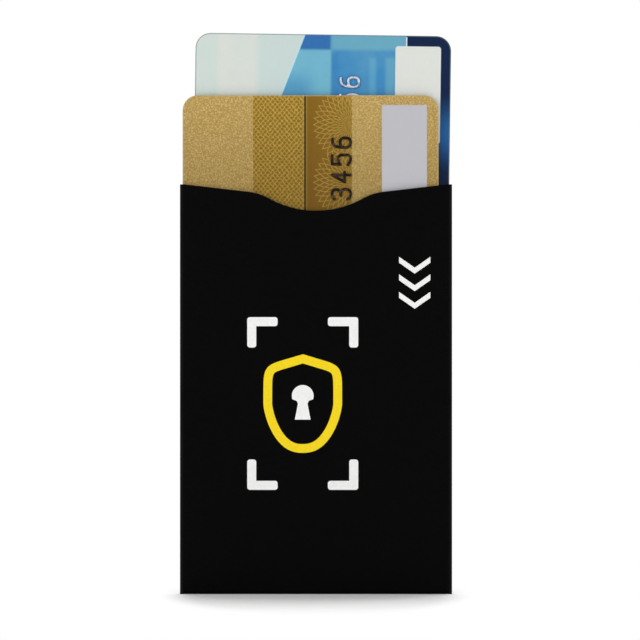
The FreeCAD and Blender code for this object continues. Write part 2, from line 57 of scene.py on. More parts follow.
def pickOnly(piece):
    clearSelection()
    piece.select_set(True)
    bpy.context.view_layer.objects.active = piece


def startEdit(piece, mode="EDGE"):
    pickOnly(piece)
    bpy.ops.object.mode_set(mode="EDIT")
    bpy.ops.mesh.select_mode(type=mode)


def endEdit():
    bpy.ops.object.mode_set(mode="OBJECT")


def middleOf(part):
    if hasattr(part, "co"):
        return part.co
    return sum((corner.co for corner in part.verts), Vector()) / len(part.verts)


def choose(piece, kind, test):  # kind is verts, edges or faces, the test reads a part's middle in mm
    shape = bmesh.from_edit_mesh(piece.data)
    for part in (*shape.faces, *shape.edges, *shape.verts):
        part.select_set(False)
    for part in getattr(shape, kind):
        if test(part, middleOf(part) / mm):
            part.select_set(True)
    bmesh.update_edit_mesh(piece.data)


def pull(x, y, z):  # extrudes what is selected
    bpy.ops.mesh.extrude_region_move(TRANSFORM_OT_translate={"value": (x * mm, y * mm, z * mm)})


def turn(centre, axis, angle, steps):  # spins what is selected, and with no window spin runs backwards
    bpy.ops.mesh.spin(steps=steps, angle=-angle, center=[c * mm for c in centre], axis=axis)


def applyModifier(piece, kind, **settings):
    modifier = piece.modifiers.new(kind.title(), kind)
    for name, value in settings.items():
        setattr(modifier, name, value)
    pickOnly(piece)
    bpy.ops.object.modifier_apply(modifier=modifier.name)


def applyPlace(piece):
    pickOnly(piece)
    bpy.ops.object.transform_apply(location=True, rotation=True, scale=True)


def smoothBy(piece, degrees):
    pickOnly(piece)
    bpy.ops.object.shade_smooth_by_angle(angle=math.radians(degrees))


def joinPieces(name, pieces):
    pickOnly(pieces[0])
    for piece in pieces:
        piece.select_set(True)
    if len(pieces) > 1:
        bpy.ops.object.join()
    pieces[0].name = name
    return pieces[0]


# Small helpers for materials, where a new node joins the tree of the sockets that it is given

def ink(red, green, blue):  # a colour as it shows on screen
    def channel(value):
        value /= 255
        return value / 12.92 if value <= 0.04045 else ((value + 0.055) / 1.055) ** 2.4
    return (channel(red), channel(green), channel(blue), 1.0)


def isSocket(value):
    return isinstance(value, bpy.types.NodeSocket)


def give(socket, value):  # a socket is linked, a number or colour is set
    if isSocket(value):
        socket.id_data.links.new(value, socket)
    else:
        socket.default_value = value


def addNode(kind, inputs, **settings):
    tree = next(value.id_data for value in inputs.values() if isSocket(value))
    node = tree.nodes.new("ShaderNode" + kind)
    for name, value in settings.items():
        setattr(node, name, value)
    for name, value in inputs.items():
        give(node.inputs[name], value)
    return node.outputs


def calc(operation, *values):
    return addNode("Math", dict(enumerate(values)), operation=operation)[0]


def plus(first, second):
    return calc("ADD", first, second)


def minus(first, second):
    return calc("SUBTRACT", first, second)


def times(first, second):
    return calc("MULTIPLY", first, second)


def larger(first, second):
    return calc("MAXIMUM", first, second)


def reachOf(across, along):
    return calc("SQRT", plus(times(across, across), times(along, along)))


def mixInk(share, first, second, blend="MIX"):  # 6, 7 and 2 are a Mix node's colours
    return addNode("Mix", {0: share, 6: first, 7: second}, data_type="RGBA", blend_type=blend)[2]


def spread(value, low, high, toLow=0.0, toHigh=1.0, curve="LINEAR"):
    inputs = dict(enumerate((value, low, high, toLow, toHigh)))
    return addNode("MapRange", inputs, interpolation_type=curve)[0]


def ease(value, low, high, toLow=0.0, toHigh=1.0):
    return spread(value, low, high, toLow, toHigh, "SMOOTHSTEP")


def between(share, low, high):
    return spread(share, 0.0, 1.0, low, high)


def noise(place, size, detail=2.0, roughness=0.5):  # size in mm, or a socket with the fineness
    scale = size if isSocket(size) else 1 / size
    inputs = {"Vector": place, "Scale": scale, "Detail": detail, "Roughness": roughness}
    return addNode("TexNoise", inputs)["Fac"]


def flakes(place, size):  # a random level for each small cell
    colour = addNode("TexVoronoi", {"Vector": place, "Scale": 1 / size})["Color"]
    return addNode("SeparateColor", {0: colour})[0]


def split(place):
    return addNode("SeparateXYZ", {0: place})


def placeInMm(shader, middle=(0, 0, 0), tilt=0.0, stretch=(1, 1, 1)):
    where = shader.id_data.nodes.new("ShaderNodeTexCoord").outputs["Object"]
    inputs = {"Vector": where, "Location": [m * mm for m in middle],
              "Rotation": (0, math.radians(tilt), 0), "Scale": [s * mm for s in stretch]}
    return addNode("Mapping", inputs, vector_type="TEXTURE")["Vector"]


def newMaterial(name, settings):
    material = bpy.data.materials.new(name)
    material.use_nodes = True
    shader = material.node_tree.nodes["Principled BSDF"]
    for socket, value in settings.items():
        give(shader.inputs[socket], value)
    return material, shader


def dress(shader, colour, rough):
    give(shader.inputs["Base Color"], colour)
    give(shader.inputs["Roughness"], rough)


def bumpFrom(shader, height, strength, distance):  # distance in mm
    bump = addNode("Bump", {"Height": height, "Strength": strength, "Distance": distance * mm})
    give(shader.inputs["Normal"], bump["Normal"])


def newGroup(name, inputs, outputs):  # all of them numbers, apart from the input Place
    group = bpy.data.node_groups.new(name, "ShaderNodeTree")
    for way, labels in (("INPUT", inputs), ("OUTPUT", outputs)):
        for label in labels:
            kind = "NodeSocketVector" if label == "Place" else "NodeSocketFloat"
            group.interface.new_socket(label, in_out=way, socket_type=kind)
    return group, group.nodes.new("NodeGroupInput").outputs, group.nodes.new("NodeGroupOutput").inputs


def useGroup(group, **values):
    return addNode("Group", values, node_tree=group)


# Effects that several materials share

noiseSpan = (0.3, 0.7)  # most of a noise lies between these levels
rulingEdge = (0.5, 1.5)  # a line fades out between these shares of half its width
grainLook = {"detail": 5.0, "roughness": 0.62, "finer": 3.1, "coarseShare": 0.65}
handledLook = {
    "smudgeSize": 9.0, "smudgeDetail": 3.0, "smudgeSpan": (0.42, 0.68),
    "scratchWay": {"Rotation": (0, 0.5, 0), "Scale": (2.2, 1.0, 0.12)}, "scratchSpan": (0.70, 0.76),
}

bandGroup, inside, outside = newGroup("inkBand", ["Value", "Low", "High", "Soft"], ["Mask"])
rise, fall = (
    ease(inside["Value"], minus(inside[end], inside["Soft"]), plus(inside[end], inside["Soft"]), *levels)
    for end, levels in (("Low", (0.0, 1.0)), ("High", (1.0, 0.0))))
give(outside["Mask"], times(rise, fall))

rulingGroup, inside, outside = newGroup("fineRuling", ["Value", "Pitch", "Width"], ["Line"])
share = calc("FRACT", calc("DIVIDE", inside["Value"], inside["Pitch"]))
away = times(calc("ABSOLUTE", minus(share, 0.5)), inside["Pitch"])
half = times(inside["Width"], 0.5)
give(outside["Line"], ease(away, times(half, rulingEdge[0]), times(half, rulingEdge[1]), 1.0, 0.0))

grainGroup, inside, outside = newGroup("sheetGrain", ["Place", "Fineness"], ["Tone", "Height"])
coarse = noise(inside["Place"], inside["Fineness"], grainLook["detail"], grainLook["roughness"])
finer = noise(inside["Place"], times(inside["Fineness"], grainLook["finer"]))
give(outside["Tone"], spread(coarse, *noiseSpan))
coarse, finer = times(coarse, grainLook["coarseShare"]), times(finer, 1 - grainLook["coarseShare"])
give(outside["Height"], plus(coarse, finer))

boxGroup, inside, outside = newGroup(
    "roundedBox", ["Across", "Along", "HalfAcross", "HalfAlong", "Round"], ["Outside"])
past = []
for axis in ("Across", "Along"):
    away = minus(calc("ABSOLUTE", inside[axis]), inside["Half" + axis])
    past.append(larger(plus(away, inside["Round"]), 0.0))
give(outside["Outside"], minus(reachOf(*past), inside["Round"]))

handledGroup, inside, outside = newGroup("handledFilm", ["Place"], ["Smudge", "Scratch"])
smudge = noise(inside["Place"], handledLook["smudgeSize"], handledLook["smudgeDetail"])
give(outside["Smudge"], ease(smudge, *handledLook["smudgeSpan"]))
longWay = addNode("Mapping", {"Vector": inside["Place"], **handledLook["scratchWay"]})["Vector"]
give(outside["Scratch"], spread(noise(longWay, 1.0), *handledLook["scratchSpan"]))


def band(value, low, high, soft=0.05):
    return useGroup(bandGroup, Value=value, Low=low, High=high, Soft=soft)["Mask"]


def ruling(value, pitch, width):
    return useGroup(rulingGroup, Value=value, Pitch=pitch, Width=width)["Line"]


# Camera at the middle of the sleeve's height, level, with a long lens

cameraSetup = {"across": 0.84, "height": 57.8, "distance": 1100.0, "widthSeen": 134.9, "sensor": 36.0,
               "clip": (0.05, 50)}


def placeCamera():
    reach = cameraSetup["distance"]
    bpy.ops.object.camera_add(location=(cameraSetup["across"] * mm, -reach * mm, cameraSetup["height"] * mm),
                              rotation=(quarterTurn, 0, 0))
    camera = bpy.context.object
    camera.name = "productCamera"
    camera.data.sensor_width = cameraSetup["sensor"]
    camera.data.lens = cameraSetup["sensor"] * (reach - sleeve["halfDepth"]) / cameraSetup["widthSeen"]
    camera.data.clip_start, camera.data.clip_end = cameraSetup["clip"]
    bpy.context.scene.camera = camera


# The sleeve's black sheet, folded from one blank

sleeve = {
    "halfPanel": 27.8, "halfDepth": 1.875, "height": 86.4, "foldRadius": 0.9,
    "sheet": 0.20, "backFace": 1.525, "flapEdge": 19.7, "flapTaper": 2.4,
    "shoulderDrop": 3.2, "notchRadius": 20.2, "notchCentre": 101.06,
    "blendRadius": 12.4, "blendCentre": (15.782, 72.535), "blendFrom": 9.779, "blendTo": 14.364,
    "columns": 140, "rows": 18, "foldSteps": 8, "weld": 0.001, "smoothTo": 32,
}


def mouthHeight(across):  # the front panel's upper edge: shoulders, blends and thumb notch
    side = abs(across)
    if side < sleeve["blendFrom"]:
        return sleeve["notchCentre"] - math.sqrt(sleeve["notchRadius"] ** 2 - side ** 2)
    if side < sleeve["blendTo"]:
        away = side - sleeve["blendCentre"][0]
        return sleeve["blendCentre"][1] + math.sqrt(sleeve["blendRadius"] ** 2 - away ** 2)
    return sleeve["height"] - sleeve["shoulderDrop"] * (1 - side / sleeve["halfPanel"])


def foldSheet():
    radius, front = sleeve["foldRadius"], -sleeve["halfDepth"]
    clearSelection()
    bpy.ops.mesh.primitive_grid_add(x_subdivisions=sleeve["columns"], y_subdivisions=sleeve["rows"], size=2,
                                    location=(0, front * mm, 0), rotation=(quarterTurn, 0, 0))
    sheet = bpy.context.object
    sheet.name = "folded_sheet"
    sheet.scale = (sleeve["halfPanel"] * mm, 1, 1)
    applyPlace(sheet)

    startEdit(sheet, "VERT")
    for vert in bmesh.from_edit_mesh(sheet.data).verts:  # rows run from the bottom crease to the mouth
        share = (vert.co.z + 1) / 2
        vert.co.z = (radius + share * (mouthHeight(vert.co.x / mm) - radius)) * mm
    bmesh.update_edit_mesh(sheet.data)

    bpy.ops.mesh.select_mode(type="EDGE")
    choose(sheet, "edges", lambda edge, at: abs(at.z - radius) < onLine and edge.is_boundary)
    turn((0, front + radius, radius), (1, 0, 0), quarterTurn, sleeve["foldSteps"])
    pull(0, sleeve["backFace"] - radius - (front + radius), 0)
    turn((0, sleeve["backFace"] - radius, radius), (1, 0, 0), quarterTurn, sleeve["foldSteps"])
    pull(0, 0, sleeve["height"] - radius)

    for side in (-1, 1):
        crease = side * sleeve["halfPanel"]
        choose(sheet, "edges", lambda edge, at: edge.is_boundary and abs(at.x - crease) < onLine
               and abs(at.y - front) < onLine and at.z > radius)
        turn((crease, front + radius, 0), (0, 0, 1), side * quarterTurn, sleeve["foldSteps"])
        pull(0, -2 * (front + radius), 0)
        turn((crease, -front - radius, 0), (0, 0, 1), side * quarterTurn, sleeve["foldSteps"])
        pull(side * (sleeve["flapEdge"] - sleeve["halfPanel"]), 0, 0)
        choose(sheet, "edges", lambda edge, at: edge.is_boundary and side * at.x > sleeve["halfPanel"]
               and abs(at.z - radius) < onLine)
        pull(0, 0, -radius)

    for vert in bmesh.from_edit_mesh(sheet.data).verts:  # slanting flap ends
        across, depth, height = vert.co / mm
        if abs(depth + front) < onLine and abs(abs(across) - sleeve["flapEdge"]) < onLine:
            middle = (sleeve["height"] + radius) / 2
            reach = sleeve["height"] - middle
            vert.co.z = (middle + (height - middle) * (reach - sleeve["flapTaper"]) / reach) * mm
    bmesh.update_edit_mesh(sheet.data)
    bpy.ops.mesh.select_all(action="SELECT")
    bpy.ops.mesh.remove_doubles(threshold=sleeve["weld"] * mm)
    bpy.ops.mesh.normals_make_consistent(inside=False)
    inFront = min(bmesh.from_edit_mesh(sheet.data).faces, key=lambda face: face.calc_center_median().y)
    if inFront.normal.y > 0:  # the front panel faces the front
        bpy.ops.mesh.flip_normals()
    endEdit()
    print("sheet folded,", len(sheet.data.polygons), "faces")
    applyModifier(sheet, "SOLIDIFY", thickness=sleeve["sheet"] * mm, offset=-1, use_even_offset=True)
    smoothBy(sheet, sleeve["smoothTo"])
    sheetNodes = ["front_panel", "back_panel", "bottom_fold"]
    for side in ("left_", "right_"):
        sheetNodes += [side + part for part in ("side_wall", "front_crease", "back_crease", "glue_flap")]
    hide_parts(*sheetNodes)
    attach(sheet, "sleeve")
    return sheet


# Prints on the front panel: corner marks round a shield with a keyhole, and chevrons under the mouth

prints = {
    "film": 0.02, "lift": 0.004,
    "middle": (-2.8, 40.2), "halfFrame": (11.7, 18.2), "markArm": 6.4, "markStroke": 1.9, "markRound": 0.55,
    "markSteps": 5, "shieldHalf": (8.3, 10.4), "shieldStroke": 1.85, "shieldCorners": 96,
    "shieldSquare": 0.32, "peakShare": 0.20, "peakPower": 1.3, "flankPower": 0.85, "pointPower": 1.35,
    "keyholeUp": 1.6, "keyholeRadius": 2.3, "keyholeDrop": 5.0, "keyholeCorners": 40,
    "slotShare": 0.72, "slotTop": 0.70, "slotFoot": 0.86, "neckShare": 0.45, "neck": 0.62,
    "chevronMiddle": (20.8, 70.5), "chevronHalf": 3.3, "chevronFall": 2.3, "chevronStroke": 1.25,
    "chevronPitch": 3.7, "chevrons": 3,
}


def printDepth():
    return -sleeve["halfDepth"] - prints["lift"]


def addFlat(across, up, width, height):  # a flat start facing the front
    clearSelection()
    bpy.ops.mesh.primitive_plane_add(size=1, location=(across * mm, printDepth() * mm, up * mm),
                                     rotation=(quarterTurn, 0, 0))
    flat = bpy.context.object
    flat.scale = (width * mm, height * mm, 1)
    applyPlace(flat)
    return flat


def addDisc(across, up, radius, corners):
    clearSelection()
    bpy.ops.mesh.primitive_circle_add(vertices=corners, radius=radius * mm, fill_type="NGON",
                                      location=(across * mm, printDepth() * mm, up * mm),
                                      rotation=(quarterTurn, 0, 0))
    disc = bpy.context.object
    applyPlace(disc)
    return disc


def finishPrint(name, pieces, material):
    piece = joinPieces(name, pieces)
    startEdit(piece, "FACE")
    bpy.ops.mesh.select_all(action="SELECT")
    bpy.ops.mesh.normals_make_consistent(inside=False)
    faces = bmesh.from_edit_mesh(piece.data).faces
    for face in faces:
        if face.normal.y > 0:
            face.normal_flip()
    bmesh.update_edit_mesh(piece.data)
    endEdit()
    applyModifier(piece, "SOLIDIFY", thickness=prints["film"] * mm, offset=1)
    piece.data.materials.append(material)
    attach(piece, "sleeve")


def cornerMark(toSide, toTop):
    stroke, arm = prints["markStroke"], prints["markArm"]
    across = prints["middle"][0] + toSide * (prints["halfFrame"][0] - stroke / 2)
    up = prints["middle"][1] + toTop * (prints["halfFrame"][1] - stroke / 2)
    mark = addFlat(across, up, stroke, stroke)
    startEdit(mark)
    onEdge = stroke / 2 - onLine
    choose(mark, "edges", lambda edge, at: (across - at.x) * toSide > onEdge)
    pull(-toSide * (arm - stroke), 0, 0)
    choose(mark, "edges", lambda edge, at: (up - at.z) * toTop > onEdge and abs(at.x - across) < stroke / 2)
    pull(0, 0, -toTop * (arm - stroke))
    inner = Vector((across - toSide * stroke / 2, 0, up - toTop * stroke / 2))
    bpy.ops.mesh.select_mode(type="VERT")
    choose(mark, "verts", lambda vert, at: len(vert.link_edges) == 2
           and (Vector((at.x, 0, at.z)) - inner).length > onLine)
    bpy.ops.mesh.bevel(offset=prints["markRound"] * mm, segments=prints["markSteps"], affect="VERTICES")
    endEdit()
    return mark


def shieldOutline():
    halfWidth, halfHeight = prints["shieldHalf"]
    shield = addDisc(prints["middle"][0], prints["middle"][1], 1.0, prints["shieldCorners"])
    startEdit(shield, "VERT")
    for vert in bmesh.from_edit_mesh(shield.data).verts:
        angle = math.atan2(vert.co.z - prints["middle"][1] * mm, vert.co.x - prints["middle"][0] * mm)
        side, rise = math.cos(angle), math.sin(angle)
        if rise >= 0:  # a squared top with a low middle peak
            across = math.copysign(abs(side) ** prints["shieldSquare"], side)
            up = ((1 - prints["peakShare"]) * rise ** prints["shieldSquare"]
                  + prints["peakShare"] * (1 - abs(across)) ** prints["peakPower"])
        else:  # flanks that curve in to a point
            across = math.copysign(abs(side) ** prints["flankPower"], side)
            up = -abs(rise) ** prints["pointPower"]
        vert.co.x = (prints["middle"][0] + halfWidth * across) * mm
        vert.co.z = (prints["middle"][1] + halfHeight * up) * mm
    bmesh.update_edit_mesh(shield.data)
    bpy.ops.mesh.select_mode(type="FACE")
    bpy.ops.mesh.select_all(action="SELECT")
    bpy.ops.mesh.inset(thickness=prints["shieldStroke"] * mm, use_even_offset=True)
    bpy.ops.mesh.delete(type="FACE")
    endEdit()
    return shield


def keyhole():
    across, up = prints["middle"][0], prints["middle"][1] + prints["keyholeUp"]
    radius, drop = prints["keyholeRadius"], prints["keyholeDrop"]
    hole = addDisc(across, up, radius, prints["keyholeCorners"])
    startEdit(hole, "VERT")
    for vert in bmesh.from_edit_mesh(hole.data).verts:  # the lower arc becomes a flared slot
        at = vert.co / mm
        if at.z < up - radius * prints["slotShare"]:
            share = (at.x - across) / (radius * prints["slotTop"])
            vert.co.x = (across + share * radius * prints["slotFoot"]) * mm
            vert.co.z = (up - drop) * mm
        elif at.z < up - radius * prints["neckShare"]:
            vert.co.x = (across + (at.x - across) * prints["neck"]) * mm
    bmesh.update_edit_mesh(hole.data)
    endEdit()
    return hole


def chevron(index):
    across, up = prints["chevronMiddle"][0], prints["chevronMiddle"][1] - index * prints["chevronPitch"]
    half, stroke = prints["chevronHalf"], prints["chevronStroke"]
    arrow = addFlat(across - half / 2, up, half, stroke)
    startEdit(arrow)
    choose(arrow, "edges", lambda edge, at: at.x > across - onLine)
    pull(half, 0, 0)
    bpy.ops.mesh.select_mode(type="VERT")
    choose(arrow, "verts", lambda vert, at: abs(at.x - across) < onLine)
    bpy.ops.transform.translate(value=(0, 0, -prints["chevronFall"] * mm))
    endEdit()
    return arrow


# Embossed numbers, each digit a bent round bar set half into the card

digits = {
    "number": "1234 5678 9012 3456", "halfWide": 1.015, "halfTall": 1.94, "barRadius": 0.36, "rise": 0.46,
    "lastFromTop": 10.0, "firstFromBottom": 10.26, "sunk": 0.02, "voxel": 0.085, "keep": 0.35,
    "curveSteps": 8, "barSteps": 3, "ballSides": 16, "ballRings": 10, "smoothing": 0.5, "smoothRounds": 2,
    "weld": 0.0001, "smoothTo": 50,
}
ring = [(-1, .6), (-.6, 1), (.6, 1), (1, .6), (1, -.6), (.6, -1), (-.6, -1), (-1, -.6)]
bowl = [(-1, -.15), (-.6, .14), (.6, .14), (1, -.15), (1, -.7), (.6, -1), (-.6, -1), (-1, -.7)]
smallBowl = [(-.86, .34), (-.86, .76), (-.5, 1), (.5, 1), (.86, .76), (.86, .34), (.5, .08), (-.5, .08)]
bars = {  # lists of points over the digit's half width and half height, closed ones marked by a 1
    "0": [(1, ring)],
    "1": [(0, [(-.7, .6), (0, 1)]), (0, [(0, 1), (0, -1)]), (0, [(-.75, -1), (.75, -1)])],
    "2": [(0, [(-1, .5), (-1, 1), (1, 1), (1, .15), (-.1, -.3), (-1, -.6), (-1, -1)]),
          (0, [(-1, -1), (1, -1)])],
    "3": [(0, [(-1, .72), (-.8, 1), (1, 1.02), (1, .07), (-.2, .07)]),
          (0, [(-.2, .07), (1.06, .07), (1.06, -1), (-.8, -1), (-1, -.68)])],
    "4": [(0, [(.45, 1), (-1, -.36)]), (0, [(-1, -.36), (1, -.36)]), (0, [(.45, 1), (.45, -1)])],
    "5": [(0, [(.9, 1), (-.86, 1)]), (0, [(-.86, 1), (-.94, .1)]),
          (0, [(-.94, .1), (-.5, .34), (1.02, .38), (1.06, -1), (-.4, -1.02), (-1, -.72)])],
    "6": [(0, [(.8, .96), (-.2, 1), (-1, .5), (-1, -.4)]), (1, bowl)],
    "7": [(0, [(-1, 1), (.95, 1)]), (0, [(.95, 1), (.05, .1), (-.25, -1)])],
    "8": [(1, smallBowl), (1, bowl)],
    "9": [(0, [(-.8, -.96), (.2, -1), (1, -.5), (1, .4)]), (1, [(-x, -y) for x, y in bowl])],
}


def bendDigit(character):  # lies on its back, its face up
    strokes = []
    for closed, points in bars[character]:
        bpy.ops.curve.primitive_nurbs_path_add()
        stroke = bpy.context.object
        stroke.data.splines.clear()
        spline = stroke.data.splines.new("NURBS")
        spline.points.add(len(points) - 1)
        for point, (x, y) in zip(spline.points, points):
            point.co = (x * digits["halfWide"] * mm, y * digits["halfTall"] * mm, 0, 1)
        spline.order_u = 3 if len(points) > 2 else 2
        spline.use_cyclic_u = bool(closed)
        spline.use_endpoint_u = not closed
        spline.resolution_u = digits["curveSteps"]
        stroke.data.bevel_depth = digits["barRadius"] * mm
        stroke.data.bevel_resolution = digits["barSteps"]
        stroke.data.use_fill_caps = True
        strokes.append(stroke)
    pickOnly(strokes[0])
    for stroke in strokes:
        stroke.select_set(True)
    bpy.ops.object.convert(target="MESH")
    digit = joinPieces("digit_" + character, strokes)
    for x, y in {p for closed, points in bars[character] if not closed for p in (points[0], points[-1])}:
        bpy.ops.mesh.primitive_uv_sphere_add(  # rounded ends and joins
            segments=digits["ballSides"], ring_count=digits["ballRings"], radius=digits["barRadius"] * mm,
            location=(x * digits["halfWide"] * mm, y * digits["halfTall"] * mm, 0))
        digit = joinPieces("digit_" + character, [digit, bpy.context.object])
    digit.scale = (1, 1, digits["rise"] / digits["barRadius"])
    applyPlace(digit)
    applyModifier(digit, "REMESH", mode="VOXEL", voxel_size=digits["voxel"] * mm)
    applyModifier(digit, "SMOOTH", factor=digits["smoothing"], iterations=digits["smoothRounds"])
    applyModifier(digit, "DECIMATE", ratio=digits["keep"])
    startEdit(digit, "FACE")
    bpy.ops.mesh.select_all(action="SELECT")
    bpy.ops.mesh.bisect(plane_co=(0, 0, -digits["sunk"] * mm), plane_no=(0, 0, 1), use_fill=True,
                        clear_inner=True, threshold=digits["weld"] * mm)
    endEdit()
    return digit


cards = {
    "front_card": {"middle": (-1.15, -0.995, 62.4), "tilt": 0.0, "numberLine": 6.49},
    "rear_card": {"middle": (0.9924, 0.345, 75.3042), "tilt": 0.8, "numberLine": 5.65},
}
cardSize = {"halfWidth": 26.99, "halfLength": 42.8, "corner": 3.18}


def cardMatrix(card):
    return (Matrix.Translation(Vector(cards[card]["middle"]) * mm)
            @ Matrix.Rotation(math.radians(cards[card]["tilt"]), 4, "Y"))


def layNumber(name, card, masters, base):  # copies of the digits in a line along the card, joined
    upright = Matrix(((0, -1, 0, 0), (0, 0, -1, 0), (1, 0, 0, 0), (0, 0, 0, 1)))  # reads upwards
    last = cardSize["halfLength"] - digits["lastFromTop"]
    first = digits["firstFromBottom"] - cardSize["halfLength"]
    pitch = (last - first) / (len(digits["number"]) - 1)
    copies = []
    for place, character in enumerate(digits["number"]):
        if character == " ":
            continue
        copied = masters[character].copy()
        copied.data = masters[character].data.copy()
        bpy.context.scene.collection.objects.link(copied)
        spot = Matrix.Translation(Vector((cards[card]["numberLine"], 0, first + place * pitch)) * mm)
        copied.matrix_world = base @ spot @ upright
        applyPlace(copied)
        copies.append(copied)
    return joinPieces(name, copies)


def embossNumber(card, masters, material):
    number = layNumber(card + "_number", card, masters, cardMatrix(card))
    smoothBy(number, digits["smoothTo"])
    number.data.materials.clear()
    number.data.materials.append(material)
    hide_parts(card + "_raised_digits")
    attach(number, card)


# Backs of the cards, where the number shows again, sunk and mirrored

cardBack = {"dent": 0.20, "cornerSteps": 8, "past": 1.0, "weld": 0.002, "smoothTo": 40}


def onCard(part):  # the box of a part in mm from the card's middle, alike on both cards
    middle = Vector(cards["front_card"]["middle"])
    low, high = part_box("front_card_" + part)
    return low / mm - middle, high / mm - middle


def addBlock(low, high):
    clearSelection()
    bpy.ops.mesh.primitive_cube_add(size=1, location=(low + high) / 2 * mm)
    block = bpy.context.object
    block.scale = (high - low) * mm
    applyPlace(block)
    return block


def pressBack(card, masters, face, core):
    low, high = onCard("back_core")
    high.y = onCard("back_overlay")[1].y
    back = addBlock(low, high)
    back.name = card + "_pressed_back"
    startEdit(back)
    choose(back, "edges", lambda edge, at: abs(at.x) > high.x - onLine and abs(at.z) > high.z - onLine)
    bpy.ops.mesh.bevel(offset=cardSize["corner"] * mm, segments=cardBack["cornerSteps"])
    endEdit()
    back.data.materials.append(face)
    back.data.materials.append(core)
    for part in back.data.polygons:  # the rim shows the white core
        part.material_index = int(abs(part.normal.y) < 0.5)

    shallow = Matrix.Scale(cardBack["dent"] / digits["rise"], 4, (0, 1, 0))
    cutters = [layNumber("dents", card, masters, Matrix.Translation((0, high.y * mm, 0)) @ shallow)]
    past = cardBack["past"]
    for part, ends in (("magnetic_stripe", past), ("signature_panel", 0)):  # shallow beds for both
        bottom, top = onCard(part)
        cutters.append(addBlock(bottom - Vector((0, 0, ends)), top + Vector((0, past, ends))))
    for cutter in cutters:
        cutter.data.materials.clear()
        cutter.data.materials.append(face)
        applyModifier(back, "BOOLEAN", operation="DIFFERENCE", solver="MANIFOLD", object=cutter)
        bpy.data.objects.remove(cutter)
    startEdit(back, "VERT")
    bpy.ops.mesh.select_all(action="SELECT")
    bpy.ops.mesh.remove_doubles(threshold=cardBack["weld"] * mm)  # slivers that the cuts left
    endEdit()
    back.matrix_world = cardMatrix(card)
    applyPlace(back)
    smoothBy(back, cardBack["smoothTo"])
    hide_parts(card + "_back_overlay", card + "_back_core")
    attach(back, card)
    print(back.name, len(back.data.polygons), "faces")


# Finishes of the sleeve and of the plain layers

sheetLook = {
    "dark": (0.0006, 0.0006, 0.0007, 1), "pale": (0.0018, 0.0018, 0.0020, 1),
    "worn": (0.010, 0.010, 0.010, 1), "specular": 0.03, "fineness": 2.4, "rough": (0.46, 0.60),
    "smudge": -0.08, "bump": (0.22, 0.05), "creaseSide": (27.9, 28.3), "creaseDepth": (1.0, 1.5),
    "creaseWearSheenSize": 2.2, "creaseWearSheenDetail": 3.0, "creaseWearSheenStretch": (1, 1, 4), "creaseWearSheenShare": (0.1, 0.6),
}
printFilm = {"fineness": 2.0, "rough": (0.42, 0.55), "specular": 0.25, "bump": (0.15, 0.03)}
linerFilm = {"fineness": 3.0, "rough": (0.55, 0.72), "specular": 0.2, "bump": (0.3, 0.04)}
layerLooks = {
    "shieldFoil": {"inks": (ink(176, 180, 184), ink(214, 216, 218)), "size": 1.6, "rough": (0.22, 0.38),
                   "bump": (0.3, 0.06), "span": (0.0, 1.0), "detail": 5.0, "metal": 1.0},
    "driedGlue": {"inks": (ink(206, 196, 160), ink(226, 220, 192)), "size": 1.5, "rough": (0.29, 0.41)},
    "cardCore": {"inks": (ink(226, 225, 220), ink(240, 239, 235)), "size": 0.8, "rough": (0.44, 0.56),
                 "bump": (0.05, 0.03)},
    "cardInlay": {"inks": (ink(214, 216, 214), ink(230, 231, 228)), "size": 0.8, "rough": (0.44, 0.56),
                  "bump": (0.05, 0.03)},
    "antennaCoil": {"inks": (ink(184, 116, 74), ink(206, 140, 96)), "size": 0.6, "rough": (0.29, 0.41),
                    "metal": 1.0},
    "chipCarrier": {"inks": (ink(40, 46, 38), ink(58, 64, 52)), "size": 0.4, "rough": (0.44, 0.56)},
    "chipResin": {"inks": (ink(16, 16, 17), ink(26, 26, 28)), "size": 0.5, "rough": (0.34, 0.46)},
}
stripeLook = {"inks": (ink(26, 20, 17), ink(46, 38, 33)), "size": 0.5, "rough": (0.28, 0.44),
              "bump": (0.08, 0.02), "span": (0.0, 1.0), "specular": 0.4, "stretch": (1, 1, 14)}
contactLook = {"inks": (ink(196, 160, 84), ink(228, 198, 128)), "size": 0.22, "rough": (0.18, 0.34),
               "bump": (0.08, 0.02), "span": (0.0, 1.0), "metal": 1.0, "stretch": (6, 1, 1)}


def blackSheetFinish():
    look = sheetLook
    material, shader = newMaterial("blackCoatedSheet", {"Specular IOR Level": look["specular"]})
    place = placeInMm(shader)
    tone, height = useGroup(grainGroup, Place=place, Fineness=look["fineness"])
    across, depth, _ = split(place)
    # lighter along the rounded creases: partly worn ink, partly a painted sheen on the folds
    onCrease = times(ease(calc("ABSOLUTE", across), *look["creaseSide"]),
                     ease(calc("ABSOLUTE", depth), *look["creaseDepth"]))
    streaks = noise(placeInMm(shader, stretch=look["creaseWearSheenStretch"]), look["creaseWearSheenSize"], look["creaseWearSheenDetail"])
    creaseWearAndSheen = times(onCrease, spread(streaks, *noiseSpan, *look["creaseWearSheenShare"]))
    smudge = useGroup(handledGroup, Place=place)["Smudge"]
    dress(shader, mixInk(creaseWearAndSheen, mixInk(tone, look["dark"], look["pale"]), look["worn"]),
          plus(between(tone, *look["rough"]), times(smudge, look["smudge"])))
    bumpFrom(shader, height, *look["bump"])
    return material


def filmFinish(name, worn, colour, look):
    material, shader = newMaterial(name, {"Specular IOR Level": look["specular"]})
    tone, height = useGroup(grainGroup, Place=placeInMm(shader), Fineness=look["fineness"])
    dress(shader, mixInk(tone, worn, colour), between(tone, *look["rough"]))
    bumpFrom(shader, height, *look["bump"])
    return material


def cardPlace(shader, card, stretch=(1, 1, 1)):  # in mm from the card's middle, along its own directions
    return placeInMm(shader, cards[card]["middle"], cards[card]["tilt"], stretch)


